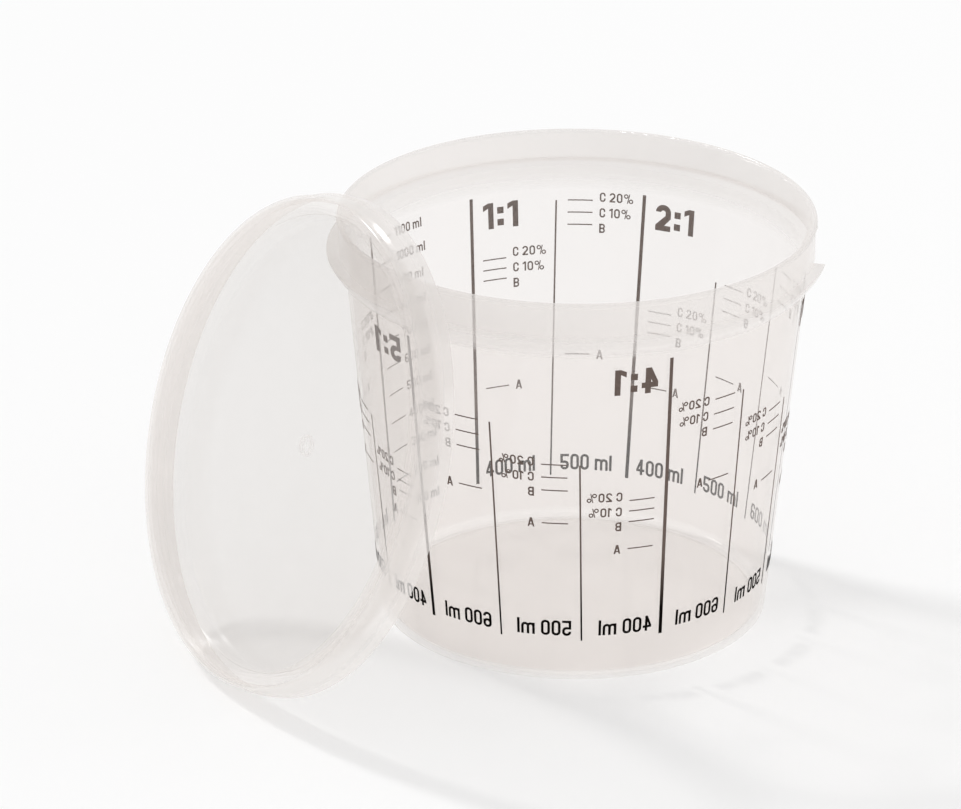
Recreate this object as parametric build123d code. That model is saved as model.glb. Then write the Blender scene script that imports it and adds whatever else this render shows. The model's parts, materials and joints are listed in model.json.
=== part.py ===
from build123d import *
import math
import os

# A translucent mixing cup with a printed mixing scale, and its push-on lid.
# Lengths are millimetres and angles are degrees. The origin is the centre of the
# cup's foot, +Z is up, and the lid leans on the cup's rim on the -X side.

# Cup body
cup_wall = 1.1
foot_r = 56.8                  # outer radius of the wall at the foot
foot_corner = 0.8
foot_width = 3.6
foot_height = 0.8              # rise of the floor panel above the foot
floor_wall = 1.1
floor_corner = 1.5
wall_height = 104.5            # of the tapered wall, up to where it turns out into the ledge
wall_spread = 9.9              # how much wider the wall's radius is at its top
ledge_reach = 5.6              # from the wall's top out to the ledge's edge
ledge_rise = 7.2               # from the wall's top up to the top of the ledge
ledge_edge = 0.5
ledge_bulge = 0.45             # how far the ledge's underside swells past a straight line
collar_wall = 1.2
collar_height = 10.2           # of the collar and its lip, above the ledge
shoulder_step = 1.475          # from the wall's inner face out to the collar's
shoulder_drop = 0.6            # the inner shoulder's foot, below the ledge's top
shoulder_rise = 1.5            # the inner shoulder's head, above the ledge's top
bead_r = 0.85                  # rounding of the lip
notch_start = -40.7            # thumb notch in the ledge, as angles round the cup
notch_end = -17.7
notch_drop = 1.5
overrun = 2.0                  # how far a cutting solid runs past what it cuts

# Lid, measured down from the top of its crown
skirt_wall = 0.9
plug_wall = 1.1
crown_wall = 1.1
crown_corner = 1.4
panel_wall = 0.8
panel_depth = 10.2
plug_gap = 0.4                 # play between the plug and the collar
skirt_gap = 0.3                # play between the lip's bead and the skirt
seat_gap = 0.3                 # skirt to ledge when the lid is pushed home
skirt_draft = 0.9              # how far the skirt spreads down to its step
skirt_step_depth = 7.0
skirt_step = 0.7
skirt_step_run = 0.7
catch_reach = 0.55             # bead inside the skirt that snaps under the lip
catch_height = 1.8
ridge_out = 1.8                # from the recess wall to the middle of the crown's fine ridge
ridge_width = 0.6
ridge_height = 0.2
recess_turn_depth = 7.4        # where the recess wall leans further in
recess_turn_in = 1.0
panel_in = 1.6                 # from the recess wall's top in to the panel's edge
recess_step_depth = 2.5
recess_step = 0.15
groove_depth = 4.6
groove_width = 0.5
groove_cut = 0.25
nub_r = 2.75                   # moulding gate at the centre of the panel
nub_height = 0.4
dimple_r = 1.1
dimple_depth = 0.3

# How the lid leans
lean = 70.35                   # angle between the lid and the ground
lean_gap = 0.25

# Printed scale
ink = 0.06
ink_gap = 0.02                 # clearance between the ink and the wall
print_start = 88.2             # angle of the first bar
print_break = 14.1             # bare angle between the last column and the first
print_lean = 1.19              # how far the print is turned from the wall's own slope
print_level_z = 49.0           # height at which the lean shifts nothing
print_zero_z = 5.0             # height that stands for an empty cup
bar_foot_z = 13.2
bar_top_drop = 1.7             # from the wall's top down to the tall bars' tops
thick_bar = 1.05
thin_bar = 0.5
tick = 0.35
label_rise = 4.1               # from the bars' feet up to the middle of the labels
title_drop = 7.9               # from the wall's top down to the middle of the titles

# Places along the wall from a bar's middle, as shares of a column's width
tick_from_share = 0.142
tick_to_share = 0.445
note_from_share = 0.530
label_from_share = 0.117
title_from_share = 0.158

# Mixing groups: parts of A to one part of B, and the steps of filling in each column
mixing_steps = {
    1: (4, 5),
    2: (4, 5, 6),
    3: (4, 5, 6),
    4: (4, 5, 6),
    5: (4, 5, 6),
}
low_thinner_share = 0.10
high_thinner_share = 0.20
plain_steps = 11               # marks of the plain scale
step_multiple = 10             # a step of filling is a round number of these, in millilitres
cubic_mm = 1000                # in one millilitre

# Text: height as a share of a column's width, and the rest as shares of that height
title_shares = {"height": 0.3275, "stroke": 0.21, "figure": 0.60, "m": 0.90, "tracking": 0.15}
label_shares = {"height": 0.2022, "stroke": 0.15, "figure": 0.52, "m": 0.80, "tracking": 0.09}
note_shares = {"height": 0.1173, "stroke": 0.16, "figure": 0.60, "m": 0.90, "tracking": 0.15}
note_pitch_share = 1.67        # from one note to the next, up the wall
space_share = 0.27
round_share = 0.48             # corner radius of the figures, as a share of their narrow side
small_letter_share = 0.74
letter_a_share = 0.68
letter_a_top_share = 0.22
letter_a_bar_share = 0.20
one_flag_share = 0.20          # how far the flag of the 1 stands out
one_flag_low_share = 0.70
four_stem_share = 0.13         # from the stem of the 4 to its right edge
four_cross_share = 0.22
cut_low_share = 0.27           # where open figures end
cut_high_share = 0.72
colon_low_share = 0.10
colon_high_share = 0.56
colon_dot_share = 0.25
percent_ring_share = 0.48
percent_share = 1.0

# Worked out from the sizes above
slope = wall_spread / wall_height
floor_z = foot_height + floor_wall
ledge_root_r = foot_r + wall_spread
ledge_r = ledge_root_r + ledge_reach
ledge_z = wall_height + ledge_rise
lip_z = ledge_z + collar_height
shoulder_low_z = ledge_z - shoulder_drop
shoulder_high_z = ledge_z + shoulder_rise
collar_in_r = foot_r + slope * shoulder_low_z - cup_wall + shoulder_step
collar_out_r = collar_in_r + collar_wall
bead_mid_r = collar_in_r + bead_r
bead_mid_z = lip_z - bead_r
bead_out_r = bead_mid_r + bead_r
plug_r = collar_in_r - plug_gap
recess_r = plug_r - plug_wall
panel_r = recess_r - panel_in
ridge_r = recess_r + ridge_out
skirt_in_r = bead_out_r + skirt_gap
skirt_out_r = skirt_in_r + skirt_wall
skirt_spread = skirt_draft + skirt_step
skirt_foot_r = skirt_out_r + skirt_spread
skirt_depth = collar_height + crown_wall - seat_gap
plug_depth = panel_depth + panel_wall
lean_sin = math.sin(math.radians(lean))
lean_cos = math.cos(math.radians(lean))
lid_z = skirt_depth * lean_cos + skirt_foot_r * lean_sin
lid_reach = plug_depth + lean_gap + bead_r
lid_x = -bead_mid_r - ((bead_mid_z - lid_z) * lean_cos + lid_reach) / lean_sin
bar_top_z = wall_height - bar_top_drop
label_z = bar_foot_z + label_rise
title_z = wall_height - title_drop
columns = sum(len(steps) for steps in mixing_steps.values()) + 1
column_pitch = (360 - print_break) / columns
column_width = math.radians(column_pitch) * (foot_r + slope * print_level_z)
diagonal_share = math.sqrt(0.5)


def wall_out_r(z):
    """Outer radius of the tapered wall at a height."""
    return foot_r + slope * z


def wall_in_r(z):
    """Inner radius of the tapered wall at a height."""
    return wall_out_r(z) - cup_wall


def turned(edges, angle=360):
    """Turn a closed outline of radius and height about the Z axis."""
    return revolve(Plane.XZ * make_face(edges), Axis.Z, revolution_arc=angle)


def cup_body():
    """The cup: foot, floor, tapered wall, ledge with its thumb notch, collar and lip."""
    foot_in_r = foot_r - foot_width
    corner_mid = foot_corner * (1 - diagonal_share)
    ledge_low_z = ledge_z - ledge_edge
    ledge_run = math.hypot(ledge_r - ledge_root_r, ledge_low_z - wall_height)
    bulge_r = ledge_bulge * (ledge_low_z - wall_height) / ledge_run
    bulge_z = ledge_bulge * (ledge_r - ledge_root_r) / ledge_run
    ledge_mid_r = (ledge_root_r + ledge_r) / 2 + bulge_r
    ledge_mid_z = (wall_height + ledge_low_z) / 2 - bulge_z
    bead_low_z = bead_mid_z - math.sqrt(bead_r**2 - (collar_out_r - bead_mid_r) ** 2)
    floor_in_r = wall_in_r(floor_z + floor_corner)
    floor_mid = floor_corner * diagonal_share
    outline = Polyline(
        (floor_in_r - floor_corner, floor_z),
        (0, floor_z),
        (0, foot_height),
        (foot_in_r, foot_height),
        (foot_in_r, 0),
        (foot_r - foot_corner, 0),
    )
    outline += ThreePointArc(
        (foot_r - foot_corner, 0),
        (foot_r - corner_mid, corner_mid),
        (wall_out_r(foot_corner), foot_corner),
    )
    outline += Line((wall_out_r(foot_corner), foot_corner), (ledge_root_r, wall_height))
    outline += ThreePointArc(
        (ledge_root_r, wall_height), (ledge_mid_r, ledge_mid_z), (ledge_r, ledge_low_z)
    )
    outline += Polyline(
        (ledge_r, ledge_low_z),
        (ledge_r, ledge_z),
        (collar_out_r, ledge_z),
        (collar_out_r, bead_low_z),
    )
    outline += ThreePointArc(
        (collar_out_r, bead_low_z), (bead_out_r, bead_mid_z), (bead_mid_r, lip_z)
    )
    outline += ThreePointArc(
        (bead_mid_r, lip_z),
        (bead_mid_r - bead_r * diagonal_share, bead_mid_z + bead_r * diagonal_share),
        (collar_in_r, bead_mid_z),
    )
    outline += Polyline(
        (collar_in_r, bead_mid_z),
        (collar_in_r, shoulder_high_z),
        (wall_in_r(shoulder_low_z), shoulder_low_z),
        (floor_in_r, floor_z + floor_corner),
    )
    outline += ThreePointArc(
        (floor_in_r, floor_z + floor_corner),
        (floor_in_r - floor_corner + floor_mid, floor_z + floor_corner - floor_mid),
        (floor_in_r - floor_corner, floor_z),
    )
    notch = Polyline(
        (collar_out_r, ledge_z),
        (collar_out_r, ledge_z - notch_drop),
        (ledge_root_r, wall_height),
        (ledge_r + overrun, wall_height),
        (ledge_r + overrun, ledge_z),
        close=True,
    )
    cutter = Rot(0, 0, notch_start) * turned(notch, notch_end - notch_start)
    return turned(outline) - cutter


def lid():
    """The lid: crown, skirt, plug, sunken panel and gate nub, leaning on the cup's rim."""
    panel_top = -panel_depth
    nub_top = panel_top + nub_height
    turn_r = recess_r - recess_turn_in
    skirt_low_r = skirt_in_r + skirt_spread
    step_low = -skirt_step_depth - skirt_step_run
    crown_mid = crown_corner * (1 - diagonal_share)
    ridge_in_r = ridge_r - ridge_width / 2
    ridge_out_r = ridge_r + ridge_width / 2
    catch_top = -crown_wall - 2 * bead_r
    catch_mid = catch_top - catch_height / 2
    catch_low = catch_top - catch_height

    def recess_wall_r(depth):
        return recess_r - recess_turn_in * depth / recess_turn_depth

    def skirt_lean(depth):
        return skirt_draft * depth / skirt_step_depth

    outline = ThreePointArc(
        (0, nub_top - dimple_depth),
        (dimple_r * diagonal_share, nub_top - dimple_depth * diagonal_share),
        (dimple_r, nub_top),
    )
    outline += Polyline(
        (dimple_r, nub_top),
        (nub_r, nub_top),
        (nub_r, panel_top),
        (panel_r, panel_top),
        (turn_r, -recess_turn_depth),
        (recess_wall_r(groove_depth + groove_width), -groove_depth - groove_width),
        (recess_wall_r(groove_depth) + groove_cut, -groove_depth - groove_width / 2),
        (recess_wall_r(groove_depth), -groove_depth),
        (recess_wall_r(recess_step_depth), -recess_step_depth),
        (recess_wall_r(recess_step_depth) + recess_step, -recess_step_depth + recess_step),
        (recess_r + recess_step, 0),
        (ridge_in_r, 0),
    )
    outline += ThreePointArc((ridge_in_r, 0), (ridge_r, ridge_height), (ridge_out_r, 0))
    outline += Line((ridge_out_r, 0), (skirt_out_r - crown_corner, 0))
    outline += ThreePointArc(
        (skirt_out_r - crown_corner, 0),
        (skirt_out_r - crown_mid, -crown_mid),
        (skirt_out_r + skirt_lean(crown_corner), -crown_corner),
    )
    outline += Polyline(
        (skirt_out_r + skirt_lean(crown_corner), -crown_corner),
        (skirt_out_r + skirt_draft, -skirt_step_depth),
        (skirt_foot_r, step_low),
        (skirt_foot_r, -skirt_depth),
        (skirt_low_r, -skirt_depth),
        (skirt_low_r, step_low),
        (skirt_in_r + skirt_draft, -skirt_step_depth),
        (skirt_in_r + skirt_lean(-catch_low), catch_low),
        (skirt_in_r - catch_reach, catch_mid),
        (skirt_in_r + skirt_lean(-catch_top), catch_top),
        (skirt_in_r, -crown_wall),
        (plug_r, -crown_wall),
        (turn_r + plug_wall, -recess_turn_depth),
        (panel_r + plug_wall, panel_top),
        (panel_r + plug_wall - panel_wall, -plug_depth),
        (0, -plug_depth),
        (0, nub_top - dimple_depth),
    )
    return Pos(lid_x, 0, lid_z) * Rot(0, -lean, 0) * turned(outline)


def block(x_from, y_from, x_to, y_to):
    """A rectangle between two corners."""
    middle = Pos((x_from + x_to) / 2, (y_from + y_to) / 2)
    return middle * Rectangle(x_to - x_from, y_to - y_from)


def patch(*corners):
    """A flat shape between straight edges."""
    return make_face(Polyline(*corners, close=True))


def rounded(width, height):
    """A rectangle with well rounded corners."""
    return RectangleRounded(width, height, round_share * min(width, height))


def ring(low, high, width, stroke):
    """An upright rounded ring between two heights."""
    hollow = rounded(width - 2 * stroke, high - low - 2 * stroke)
    return Pos(width / 2, (low + high) / 2) * (rounded(width, high - low) - hollow)


def arch(left, width, height, stroke):
    """A round-topped arch that stands on the line."""
    middle = Pos(left + width / 2, height - width / 2)
    outer = middle * Circle(width / 2) + block(left, 0, left + width, height - width / 2)
    hollow = middle * Circle(width / 2 - stroke)
    hollow += block(left + stroke, 0, left + width - stroke, height - width / 2)
    return outer - hollow


def glyphs(shares):
    """Every figure and letter in one style of text, as flat shapes that stand on the line."""
    h = shares["height"] * column_width
    t = shares["stroke"] * h
    w = shares["figure"] * h
    m_width = shares["m"] * h
    bowl = (h + t) / 2
    upper = ring(h - bowl, h, w, t)
    lower = ring(0, bowl, w, t)
    tall = ring(0, h, w, t)
    cut_low = cut_low_share * h
    cut_high = cut_high_share * h
    six = tall - block(w / 2, bowl - t / 2, w, cut_high) + lower

    flag = one_flag_share * h
    flag_low = one_flag_low_share * h
    one = block(flag, 0, flag + t, h)
    one += patch((0, flag_low), (flag, flag_low + t / 2), (flag, h), (0, flag_low + t))

    neck = h - w / 2 - t / 2
    two = tall - block(0, 0, w, cut_high)
    two += block(w - t, neck, w, cut_high)
    two += patch((w - t, neck), (w, neck), (w, neck - t / 2), (t * 5 / 4, t / 2), (0, t / 2), (0, t))
    two += block(0, 0, w, t)

    stem_right = w - four_stem_share * h
    stem_left = stem_right - t
    cross = four_cross_share * h
    four = block(stem_left, 0, stem_right, h) + block(0, cross, w, cross + t)
    four += patch((0, cross + t), (t, cross + t), (stem_right, h), (stem_left, h))

    five_turn = (bowl + cut_low) / 2
    five = block(0, h - t, w, h) + block(0, five_turn, t, h)
    five += lower - block(0, cut_low, w / 2, five_turn)

    seven = block(0, h - t, w, h)
    seven += patch((w - t, h - t), (w, h - t), (w / 2, 0), (w / 2 - t, 0))

    dot = colon_dot_share * h
    colon_low = colon_low_share * h
    colon_high = colon_high_share * h
    colon = block(0, colon_low, dot, colon_low + dot) + block(0, colon_high, dot, colon_high + dot)

    a_width = letter_a_share * h
    top_left = (a_width - letter_a_top_share * h) / 2
    top_right = a_width - top_left
    a_bar = letter_a_bar_share * h
    letter_a = patch((0, 0), (top_left, h), (top_right, h), (t, 0))
    letter_a += patch((a_width, 0), (a_width - t, 0), (top_left, h), (top_right, h))
    letter_a += block(t, a_bar, a_width - t, a_bar + t * 3 / 4)

    letter_b = upper + lower + block(0, 0, t, h)
    for level in (0, bowl - t, h - t):
        letter_b += block(0, level, w / 2, level + t)

    m_arch = (m_width + t) / 2
    small = small_letter_share * h
    letter_m = block(0, 0, t, small)
    letter_m += arch(0, m_arch, small, t) + arch(m_arch - t, m_arch, small, t)

    percent_r = percent_ring_share * h / 2
    percent_width = percent_share * h
    slash = percent_width / 2
    dots = Circle(percent_r) - Circle(percent_r - t * 3 / 4)
    percent = Pos(percent_r, h - percent_r) * dots
    percent += Pos(percent_width - percent_r, percent_r) * dots
    percent += patch((slash - t, 0), (slash - t / 3, 0), (slash + t, h), (slash + t / 3, h))

    return {
        "0": tall,
        "1": one,
        "2": two,
        "3": (upper + lower) - block(0, cut_low, w / 2 - t / 4, cut_high),
        "4": four,
        "5": five,
        "6": six,
        "7": seven,
        "8": upper + lower,
        "9": Pos(w, h) * Rot(0, 0, 180) * six,
        ":": colon,
        "A": letter_a,
        "B": letter_b,
        "C": tall - block(w / 2, (h - t) / 2 - t / 4, w, (h + t) / 2 + t / 4),
        "m": letter_m,
        "l": block(0, 0, t, h),
        "%": percent,
    }


class Lettering:
    """One style of text on the wall, whose letters are made once and copied after that."""

    def __init__(self, shares):
        self.height = shares["height"] * column_width
        self.tracking = shares["tracking"] * self.height
        flat = glyphs(shares)
        self.widths = {letter: shape.bounding_box().max.X for letter, shape in flat.items()}
        self.solids = {letter: extrude(shape, amount=-ink).solids() for letter, shape in flat.items()}

    def line(self, text, angle, along, z):
        """The solids of a line of text, each letter flat on the wall and centred on a height."""
        solids = []
        for letter in text:
            if letter == " ":
                along += space_share * self.height
                continue
            width = self.widths[letter]
            place = wall_plane(around(angle, along + width / 2, z), z).location
            shift = Pos(-width / 2, -self.height / 2)
            solids += [place * shift * solid for solid in self.solids[letter]]
            along += width + self.tracking
        return solids


def wall_plane(angle, z):
    """A plane on the printed face of the wall, with text running the way that reads from inside."""
    along = math.radians(angle)
    out = Vector(math.cos(along), math.sin(along), 0)
    run = Vector(math.sin(along), -math.cos(along), 0)
    normal = (out - Vector(0, 0, slope)).normalized()
    foot = out * wall_out_r(z) + Vector(0, 0, z) + normal * ink_gap
    return Plane(origin=foot, x_dir=run, z_dir=-normal)


def around(angle, along, z):
    """The angle reached at a height by going along the wall from a bar's own angle."""
    shift = (z - print_level_z) * math.tan(math.radians(print_lean))
    return angle - math.degrees((along + shift) / wall_out_r(z))


def bar(angle, width, top_z):
    """A line up the wall, from the foot of the print."""
    middle_z = (bar_foot_z + top_z) / 2
    length = (top_z - bar_foot_z) * math.hypot(1, slope)
    strip = extrude(Rectangle(width, length), amount=-ink)
    place = wall_plane(around(angle, 0, middle_z), middle_z).location
    return (place * Rot(0, 0, -print_lean) * strip).solids()


def mark(angle, z):
    """A short level line across the wall beside a bar."""
    low_r = wall_out_r(z - tick / 2) + ink_gap
    high_r = wall_out_r(z + tick / 2) + ink_gap
    edge = Polyline(
        (low_r, z - tick / 2),
        (low_r + ink, z - tick / 2),
        (high_r + ink, z + tick / 2),
        (high_r, z + tick / 2),
        close=True,
    )
    start = around(angle, tick_to_share * column_width, z)
    span = around(angle, tick_from_share * column_width, z) - start
    return (Rot(0, 0, start) * turned(edge, span)).solids()


def held(z):
    """Millilitres that the tapered wall holds from the print's zero up to a height."""
    swept = wall_in_r(z) ** 3 - wall_in_r(print_zero_z) ** 3
    return math.pi * swept / (3 * slope * cubic_mm)


def filled_z(millilitres):
    """Height of the surface of a filling."""
    swept = 3 * slope * cubic_mm * millilitres / math.pi
    surface_r = (wall_in_r(print_zero_z) ** 3 + swept) ** (1 / 3)
    return print_zero_z + (surface_r - wall_in_r(print_zero_z)) / slope


filling_step = math.floor(held(bar_top_z) / (plain_steps * step_multiple)) * step_multiple
titles = Lettering(title_shares)
labels = Lettering(label_shares)
notes = Lettering(note_shares)
note_pitch = note_pitch_share * notes.height


def column(angle, parts_of_a, millilitres):
    """One filling: a label, then marks for part A, hardener B and two shares of thinner C."""
    with_b = millilitres * (1 + 1 / parts_of_a)
    low_z = filled_z(with_b + low_thinner_share * millilitres)
    top_z = filled_z(with_b + high_thinner_share * millilitres)
    solids = labels.line(f"{millilitres} ml", angle, label_from_share * column_width, label_z)
    for z in (filled_z(millilitres), filled_z(with_b), low_z, top_z):
        solids += mark(angle, z)
    rows = {
        "A": filled_z(millilitres),
        "B": low_z - note_pitch,
        f"C {low_thinner_share:.0%}": low_z,
        f"C {high_thinner_share:.0%}": low_z + note_pitch,
    }
    for text, z in rows.items():
        solids += notes.line(text, angle, note_from_share * column_width, z)
    return solids, top_z


def mixing_scale(first_angle, parts_of_a, steps):
    """One mixing ratio: its title, a thick bar, and a column of marks for each filling."""
    title_along = title_from_share * column_width
    solids = bar(first_angle, thick_bar, bar_top_z)
    solids += titles.line(f"{parts_of_a}:1", first_angle, title_along, title_z)
    for index, step in enumerate(steps):
        angle = first_angle - index * column_pitch
        column_solids, top_z = column(angle, parts_of_a, step * filling_step)
        solids += column_solids
        if index:
            solids += bar(angle, thin_bar, top_z)
    return solids


def plain_scale(angle):
    """The plain measuring scale: a thick bar with a mark and a number at every step."""
    solids = bar(angle, thick_bar, bar_top_z)
    for step in range(1, plain_steps + 1):
        millilitres = step * filling_step
        z = filled_z(millilitres)
        solids += mark(angle, z)
        solids += notes.line(f"{millilitres} ml", angle, note_from_share * column_width, z)
    return solids


def printed_scales():
    """Every group of the printed scale, each named after its mixing ratio."""
    groups = {}
    angle = print_start
    for parts_of_a, steps in mixing_steps.items():
        groups[f"scale_{parts_of_a}_to_1"] = mixing_scale(angle, parts_of_a, steps)
        angle -= column_pitch * len(steps)
    groups["scale_millilitres"] = plain_scale(angle)
    return groups


nodes = {"cup_body": cup_body(), "lid": lid()}
for name, solids in printed_scales().items():
    nodes[name] = Compound(solids)

os.makedirs("parts", exist_ok=True)
for name, shape in nodes.items():
    export_step(shape, f"parts/{name}.step")
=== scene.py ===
import json
import math

import bpy
from mathutils import Matrix, Vector

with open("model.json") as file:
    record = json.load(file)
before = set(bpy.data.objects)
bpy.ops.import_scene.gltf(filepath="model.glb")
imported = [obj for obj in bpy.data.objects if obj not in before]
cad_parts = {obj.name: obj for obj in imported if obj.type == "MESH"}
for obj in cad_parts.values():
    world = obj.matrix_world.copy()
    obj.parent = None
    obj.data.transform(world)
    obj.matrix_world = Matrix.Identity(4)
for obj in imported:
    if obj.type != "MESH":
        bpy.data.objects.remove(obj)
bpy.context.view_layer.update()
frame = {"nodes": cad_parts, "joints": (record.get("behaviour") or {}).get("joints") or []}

# Lengths are metres and angles are degrees, in the part's own frame

# Camera, on the photograph's viewpoint
camera_reach = 1.5171          # from the cup's axis, along the ground
camera_height = 0.7211
camera_turn = -121.2           # where it stands, as an angle round the cup
camera_aim = (-0.0236, 0.0143, 0.0614)
camera_roll = 0.206
camera_lens = 211.85
camera_sensor = 36.0

# Lamps: where each stands, as an angle round the cup and a height angle, and its light
key_turn = 110.5
key_height_angle = 46.0
key_angle = 7.0                # how wide the lamp looks
key_strength = 1.05
side_turn = -40.0
side_height_angle = 18.0
side_distance = 1.5
side_size = 0.5
side_watts = 1.2

# World and floor
world_strength = 1.0
mirrored_strength = 0.95       # of the world, in gloss
seen_strength = 0.973          # of the world, where it is seen, and of the floor's own white
floor_half = 4.0
floor_colour = (0.93, 0.93, 0.93)
floor_glow = 0.25              # how much of the floor's white is its own

# Noise: scale, detail and roughness, and the values that its results mostly lie between
cloud_noise = (40.0, 2.0, 0.5)
fine_noise = (700.0, 4.0, 0.6)
ink_noise = (1500.0, 4.0, 0.6)
noise_limits = (0.3, 0.7)

# Plastic: each face of a wall is a thin veil over what lies behind it. Its clear colour is the
# tint of what shows through, and its milk is the share that scatters light instead.
cup_clear = (0.976, 0.964, 0.957)
# Painted light: the cup's floor is tinted clearer, lightening it in place of lamp light scattered
# forward into the shadow beneath it
cup_floor_painted_lift = (0.997, 0.990, 0.985)
cup_milk_colour = (0.90, 0.88, 0.865)
cup_milk = 0.040
cup_edge_milk = 0.30           # more, where a face is seen edge on
foot_milk = 0.015
rim_milk = 0.32
foot_z = (0.030, 0.0)          # heights over which the cup turns milky towards its foot
rim_z = (0.1035, 0.1085)       # and towards its ledge and collar
floor_z = (0.0034, 0.0026)     # heights over which the wall turns to the floor's clearer tint, which is painted light

lid_clear = (0.935, 0.927, 0.920)
# Painted highlight: the lid's rim is tinted clearer than its panel, lightening it where the lamp's
# reflection lies as a white band
lid_rim_painted_highlight = (0.984, 0.975, 0.969)
lid_milk_colour = (0.95, 0.935, 0.922)
lid_milk = 0.065
lid_edge_milk = 0.18
lid_rim_milk = 0.14
crown_milk = 0.10
nub_ring_milk = 0.45
lid_rim_r = (0.0655, 0.0672)   # distances from its axis over which the panel turns to the rim and its painted highlight
crown_r = (0.0698, 0.0702)     # and the rim to the outer part of its crown
nub_ring_in_r = (0.0023, 0.0026)     # the inner and the outer side of the ring round the nub
nub_ring_out_r = (0.0029, 0.0032)
lid_middle = (-0.09902, 0.0, 0.0717)     # a point on its axis, where it leans at rest
lid_axis = frame["joints"][0]["axis"]    # its one joint slides it along that axis

milk_clouds = (0.8, 1.2)       # how the milk varies, as shares of its own amount
milk_translucence = 0.5        # share of the milk's light that comes from behind it
milk_power = 3.0               # how closely the edge milk keeps to the edges
cloud_depth = 0.00010          # of the relief that ripples the gloss
facing_blend = 0.5             # at a half, facing is 0 straight on and 1 edge on
gloss_colour = (1.0, 1.0, 1.0)
gloss_roughness = (0.10, 0.18)
straight_gloss = 0.03
edge_gloss = 0.45
gloss_power = 5.0

# Ink
ink_dark = (0.003, 0.002, 0.0015)
# Painted haze: the paler, browner ink higher up stands in for lamp light scattered by the milky
# walls in front of it
ink_painted_haze = (0.175, 0.134, 0.117)
ink_z = (0.022, 0.040)         # heights over which it turns from dark to the paler painted haze
ink_patches = (0.75, 1.0)      # how evenly the painted haze lies
ink_roughness = (0.45, 0.65)
ink_sheen = 0.02               # its specular level

# Bounces: enough for light to pass the many faces of the two walls
transparent_bounces = 48
diffuse_bounces = 12


def link(tree, source, target):
    """Join two sockets."""
    tree.links.new(source, target)


def new_material(name):
    """A material with an empty node tree and its output."""
    material = bpy.data.materials.new(name)
    material.use_nodes = True
    tree = material.node_tree
    tree.nodes.clear()
    output = tree.nodes.new("ShaderNodeOutputMaterial")
    return material, tree, output


def own_place(tree):
    """Places in the object's own frame, which stick to it in every pose."""
    return tree.nodes.new("ShaderNodeTexCoord").outputs["Object"]


def noise(tree, kind):
    """Noise of one kind, as a value from 0 to 1."""
    scale, detail, roughness = kind
    grain = tree.nodes.new("ShaderNodeTexNoise")
    grain.inputs["Scale"].default_value = scale
    grain.inputs["Detail"].default_value = detail
    grain.inputs["Roughness"].default_value = roughness
    link(tree, own_place(tree), grain.inputs["Vector"])
    return grain.outputs["Fac"]


def spread(tree, value, limits):
    """A noise value, spread between two new limits."""
    node = tree.nodes.new("ShaderNodeMapRange")
    node.inputs["From Min"].default_value = noise_limits[0]
    node.inputs["From Max"].default_value = noise_limits[1]
    node.inputs["To Min"].default_value = limits[0]
    node.inputs["To Max"].default_value = limits[1]
    link(tree, value, node.inputs["Value"])
    return node.outputs["Result"]


def relief(tree, value, depth):
    """A bump of a given depth."""
    node = tree.nodes.new("ShaderNodeBump")
    node.inputs["Distance"].default_value = depth
    link(tree, value, node.inputs["Height"])
    return node.outputs["Normal"]


def mixed(tree, share, first, second):
    """A mix of two shaders, by a plain share or by a socket."""
    node = tree.nodes.new("ShaderNodeMixShader")
    if isinstance(share, float):
        node.inputs["Fac"].default_value = share
    else:
        link(tree, share, node.inputs["Fac"])
    link(tree, first, node.inputs[1])
    link(tree, second, node.inputs[2])
    return node.outputs["Shader"]


def computed(tree, operation, first, second):
    """The result of one operation on two values, either of which may be a socket."""
    node = tree.nodes.new("ShaderNodeMath")
    node.operation = operation
    for socket, value in zip(node.inputs, (first, second)):
        if isinstance(value, float):
            socket.default_value = value
        else:
            link(tree, value, socket)
    return node.outputs[0]


def ramp(tree, value, limits, top):
    """A value that climbs from 0 to a top between two limits."""
    node = tree.nodes.new("ShaderNodeMapRange")
    node.inputs["From Min"].default_value = limits[0]
    node.inputs["From Max"].default_value = limits[1]
    node.inputs["To Max"].default_value = top
    link(tree, value, node.inputs["Value"])
    return node.outputs["Result"]


def own_height(tree):
    """Height in the object's own frame."""
    split = tree.nodes.new("ShaderNodeSeparateXYZ")
    link(tree, own_place(tree), split.inputs["Vector"])
    return split.outputs["Z"]


def vector_step(tree, operation, vector, other=(0, 0, 0)):
    """The node of one operation on a vector, with a fixed second vector where it takes one."""
    node = tree.nodes.new("ShaderNodeVectorMath")
    node.operation = operation
    link(tree, vector, node.inputs[0])
    node.inputs[1].default_value = other
    return node


def lid_radius(tree):
    """Distance from the lid's axis, in the lid's own frame."""
    shift = vector_step(tree, "SUBTRACT", own_place(tree), lid_middle)
    arm = vector_step(tree, "CROSS_PRODUCT", shift.outputs["Vector"], lid_axis)
    return vector_step(tree, "LENGTH", arm.outputs["Vector"]).outputs["Value"]


def shaded(tree, factor, low, high):
    """A colour that goes from low to high as the factor goes from 0 to 1."""
    shade = tree.nodes.new("ShaderNodeValToRGB")
    start, end = shade.color_ramp.elements
    start.position = 0.0
    start.color = (*low, 1)
    end.position = 1.0
    end.color = (*high, 1)
    link(tree, factor, shade.inputs["Fac"])
    return shade.outputs["Color"]


def coloured(tree, kind, colour):
    """A shader of one kind and one colour."""
    node = tree.nodes.new(kind)
    node.inputs["Color"].default_value = (*colour, 1)
    return node.outputs["BSDF"]


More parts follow.
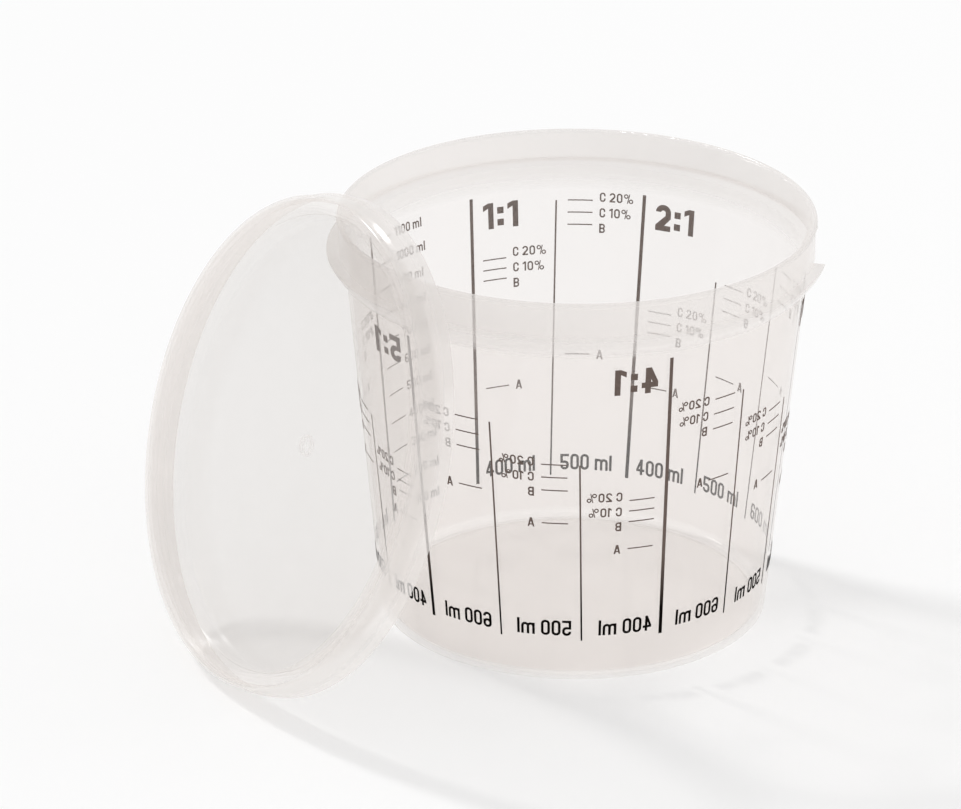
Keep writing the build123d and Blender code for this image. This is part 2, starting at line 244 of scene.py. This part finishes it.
def clear_plastic(name, clear, painted_clear, painted_clear_place, milk_colour, milk, edge_milk, places):
    """Clear moulded plastic, milkier in some places and where a wall is seen edge on.

    A place is a measure and the limits between which it counts. In places, each also has the
    milk that it adds. Over the painted clear place the tint turns to the painted clear colour,
    painted light that lightens the plastic there.
    """
    material, tree, output = new_material(name)
    cloud = noise(tree, cloud_noise)
    fine = noise(tree, fine_noise)
    bump = relief(tree, cloud, cloud_depth)
    weight = tree.nodes.new("ShaderNodeLayerWeight")
    weight.inputs["Blend"].default_value = facing_blend
    facing = weight.outputs["Facing"]

    through = tree.nodes.new("ShaderNodeBsdfTransparent")
    # painted light: the tint turns to the painted clear colour over the painted clear place
    measure, limits = painted_clear_place
    tint = shaded(tree, ramp(tree, measure(tree), limits, 1.0), clear, painted_clear)
    link(tree, tint, through.inputs["Color"])
    front = coloured(tree, "ShaderNodeBsdfDiffuse", milk_colour)
    back = coloured(tree, "ShaderNodeBsdfTranslucent", milk_colour)
    scatter = mixed(tree, milk_translucence, front, back)

    edge = computed(tree, "MULTIPLY", computed(tree, "POWER", facing, milk_power), edge_milk)
    clouded = spread(tree, cloud, [milk * part for part in milk_clouds])
    share = computed(tree, "ADD", edge, clouded)
    for measure, limits, top in places:
        share = computed(tree, "ADD", share, ramp(tree, measure(tree), limits, top))
    body = mixed(tree, share, through.outputs["BSDF"], scatter)

    gloss = tree.nodes.new("ShaderNodeBsdfGlossy")
    gloss.inputs["Color"].default_value = (*gloss_colour, 1)
    link(tree, spread(tree, fine, gloss_roughness), gloss.inputs["Roughness"])
    link(tree, bump, gloss.inputs["Normal"])
    shine = computed(tree, "MULTIPLY", computed(tree, "POWER", facing, gloss_power), edge_gloss)
    shine = computed(tree, "ADD", shine, straight_gloss)
    link(tree, mixed(tree, shine, body, gloss.outputs["BSDF"]), output.inputs["Surface"])
    return material


def printed_ink():
    """Screen-printed ink: black at the foot, and paler and browner higher up."""
    material, tree, output = new_material("printed_ink")
    grain = noise(tree, ink_noise)
    # painted haze: paler and browner higher up, in place of lamp light scattered by the milky walls
    hazed = ramp(tree, own_height(tree), ink_z, 1.0)
    uneven = computed(tree, "MULTIPLY", hazed, spread(tree, grain, ink_patches))
    ink = tree.nodes.new("ShaderNodeBsdfPrincipled")
    link(tree, shaded(tree, uneven, ink_dark, ink_painted_haze), ink.inputs["Base Color"])
    link(tree, spread(tree, grain, ink_roughness), ink.inputs["Roughness"])
    ink.inputs["Specular IOR Level"].default_value = ink_sheen
    link(tree, ink.outputs["BSDF"], output.inputs["Surface"])
    return material


def studio_floor():
    """A large pale floor that keeps the shadows."""
    mesh = bpy.data.meshes.new("studio_floor")
    signs = ((-1, -1), (1, -1), (1, 1), (-1, 1))
    corners = [(x * floor_half, y * floor_half, 0) for x, y in signs]
    mesh.from_pydata(corners, [], [range(len(corners))])
    floor = bpy.data.objects.new("studio_floor", mesh)
    bpy.context.scene.collection.objects.link(floor)
    material, tree, output = new_material("studio_floor")
    pale = coloured(tree, "ShaderNodeBsdfDiffuse", floor_colour)
    glow = tree.nodes.new("ShaderNodeEmission")
    glow.inputs["Strength"].default_value = seen_strength
    surface = mixed(tree, floor_glow, pale, glow.outputs["Emission"])
    link(tree, surface, output.inputs["Surface"])
    mesh.materials.append(material)


def backdrop(tree, strength):
    """An even white surround of one strength."""
    node = tree.nodes.new("ShaderNodeBackground")
    node.inputs["Strength"].default_value = strength
    return node.outputs["Background"]


def studio_world():
    """An even white surround, with one strength as light, one in gloss and one where it is seen."""
    world = bpy.data.worlds.new("studio_world")
    world.use_nodes = True
    tree = world.node_tree
    tree.nodes.clear()
    output = tree.nodes.new("ShaderNodeOutputWorld")
    path = tree.nodes.new("ShaderNodeLightPath")
    lit = backdrop(tree, world_strength)
    mirrored = mixed(tree, path.outputs["Is Glossy Ray"], lit, backdrop(tree, mirrored_strength))
    seen = mixed(tree, path.outputs["Is Camera Ray"], mirrored, backdrop(tree, seen_strength))
    link(tree, seen, output.inputs["Surface"])
    bpy.context.scene.world = world


def direction(turn, height_angle):
    """The unit vector towards a place in the studio."""
    turn = math.radians(turn)
    rise = math.radians(height_angle)
    flat = math.cos(rise)
    return Vector((math.cos(turn) * flat, math.sin(turn) * flat, math.sin(rise)))


def shine_on_cup(data, towards, distance=1.0):
    """Stand a lamp in one direction from the cup, facing it."""
    lamp = bpy.data.objects.new(data.name, data)
    lamp.location = towards * distance
    lamp.rotation_euler = towards.to_track_quat("Z", "Y").to_euler()
    bpy.context.scene.collection.objects.link(lamp)


def key_lamp():
    """A soft lamp behind the cup, which throws the shadows forward."""
    data = bpy.data.lights.new("key_lamp", "SUN")
    data.angle = math.radians(key_angle)
    data.energy = key_strength
    shine_on_cup(data, direction(key_turn, key_height_angle))


def side_lamp():
    """A low soft box, which puts a light line on the lid's rim."""
    data = bpy.data.lights.new("side_lamp", "AREA")
    data.shape = "SQUARE"
    data.size = side_size
    data.energy = side_watts
    shine_on_cup(data, direction(side_turn, side_height_angle), side_distance)


def photograph_camera():
    """The camera at the photograph's viewpoint, with its slight roll."""
    data = bpy.data.cameras.new("camera")
    data.lens = camera_lens
    data.sensor_width = camera_sensor
    camera = bpy.data.objects.new("camera", data)
    place = direction(camera_turn, 0) * camera_reach + Vector((0, 0, camera_height))
    look = (Vector(camera_aim) - place).normalized()
    right = look.cross(Vector((0, 0, 1))).normalized()
    up = right.cross(look)
    roll = math.radians(camera_roll)
    across = right * math.cos(roll) + up * math.sin(roll)
    upward = up * math.cos(roll) - right * math.sin(roll)
    turn = Matrix((across, upward, -look)).transposed()
    camera.matrix_world = Matrix.Translation(place) @ turn.to_4x4()
    bpy.context.scene.collection.objects.link(camera)
    bpy.context.scene.camera = camera


def dress(node, material):
    """Give a node's object one material."""
    thing = frame["nodes"][node]
    thing.data.materials.clear()
    thing.data.materials.append(material)


photograph_camera()
studio_floor()
studio_world()
key_lamp()
side_lamp()

cup_plastic = clear_plastic(
    "cup_plastic",
    clear=cup_clear,
    # painted light: a clearer tint at the cup's floor
    painted_clear=cup_floor_painted_lift,
    painted_clear_place=(own_height, floor_z),
    milk_colour=cup_milk_colour,
    milk=cup_milk,
    edge_milk=cup_edge_milk,
    places=(
        (own_height, foot_z, foot_milk),
        (own_height, rim_z, rim_milk),
    ),
)
lid_plastic = clear_plastic(
    "lid_plastic",
    clear=lid_clear,
    # painted highlight: a clearer tint on the lid's rim
    painted_clear=lid_rim_painted_highlight,
    painted_clear_place=(lid_radius, lid_rim_r),
    milk_colour=lid_milk_colour,
    milk=lid_milk,
    edge_milk=lid_edge_milk,
    places=(
        (lid_radius, lid_rim_r, lid_rim_milk),
        (lid_radius, crown_r, crown_milk),
        (lid_radius, nub_ring_in_r, nub_ring_milk),
        (lid_radius, nub_ring_out_r, -nub_ring_milk),
    ),
)
dress("cup_body", cup_plastic)
dress("lid", lid_plastic)
ink = printed_ink()
for node in frame["nodes"]:
    if node.startswith("scale_"):
        dress(node, ink)

bpy.context.scene.view_settings.view_transform = "Standard"
bpy.context.scene.cycles.transparent_max_bounces = transparent_bounces
bpy.context.scene.cycles.diffuse_bounces = diffuse_bounces
